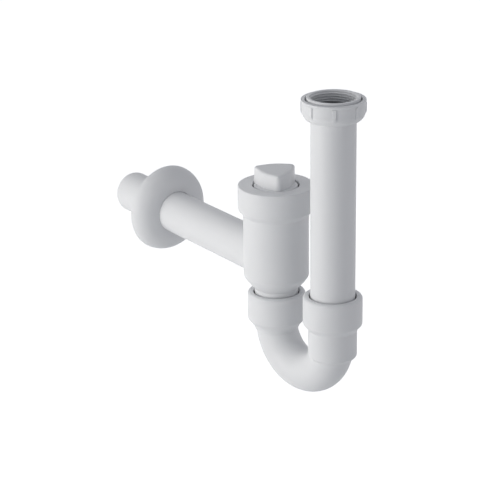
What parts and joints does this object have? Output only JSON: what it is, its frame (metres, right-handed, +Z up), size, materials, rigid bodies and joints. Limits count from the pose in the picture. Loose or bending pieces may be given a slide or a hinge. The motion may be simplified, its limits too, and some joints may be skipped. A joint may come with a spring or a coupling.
{
  "type": "tubular trap",
  "caption": "Swivelling tubular washbasin trap with inlet tube and union nut, U-bend, body with cleaning plug, horizontal outlet pipe and wall rosette.",
  "frame": {"origin": "centre of the outlet pipe's wall end", "axes": "+Z up, +X from the wall along the outlet pipe's axis to the trap body, +Y completes the right-handed frame"},
  "size_m": [0.3482, 0.0856, 0.2858],
  "materials": {
    "white_plastic": "satin",
    "black_rubber": "matte"
  },
  "bodies": {
    "trap_body": {"trap_body": "white_plastic"},
    "plug_seal": {"plug_seal": "black_rubber"},
    "cleaning_plug": {"cleaning_plug": "white_plastic"},
    "neck_seal": {"neck_seal": "black_rubber"},
    "u_bend": {"u_bend": "white_plastic"},
    "inlet_seal": {"inlet_seal": "black_rubber"},
    "inlet_tube": {"inlet_tube": "white_plastic", "inlet_gasket": "black_rubber"},
    "union_nut": {"union_nut": "white_plastic"},
    "wall_rosette": {"wall_rosette": "white_plastic"}
  },
  "joints": [
    {"name": "plug_turn", "type": "hinge", "parent": "trap_body", "child": "plug_seal", "pos_m": [0.2455, 0, 0.06], "axis": [0, 0, 1], "continuous": true},
    {"name": "plug_lift", "type": "slide", "parent": "plug_seal", "child": "cleaning_plug", "axis": [0, 0, 1], "range_m": [0, 0.035]},
    {"name": "bend_slide", "type": "slide", "parent": "trap_body", "child": "neck_seal", "axis": [0, 0, 1], "range_m": [-0.015, 0.004]},
    {"name": "bend_swivel", "type": "hinge", "parent": "neck_seal", "child": "u_bend", "pos_m": [0.2455, 0, -0.035], "axis": [0, 0, 1], "range_deg": [-149, 137]},
    {"name": "inlet_turn", "type": "hinge", "parent": "u_bend", "child": "inlet_seal", "pos_m": [0.31971, 0.00767, -0.02], "axis": [0, 0, 1], "continuous": true},
    {"name": "inlet_slide", "type": "slide", "parent": "inlet_seal", "child": "inlet_tube", "axis": [0, 0, 1], "range_m": [-0.013, 0.025]},
    {"name": "nut_turn", "type": "hinge", "parent": "inlet_tube", "child": "union_nut", "pos_m": [0.31971, 0.00767, 0.155], "axis": [0, 0, 1], "continuous": true},
    {"name": "rosette_slide", "type": "slide", "parent": "trap_body", "child": "wall_rosette", "axis": [1, 0, 0], "range_m": [-0.06, 0.06]}
  ]
}
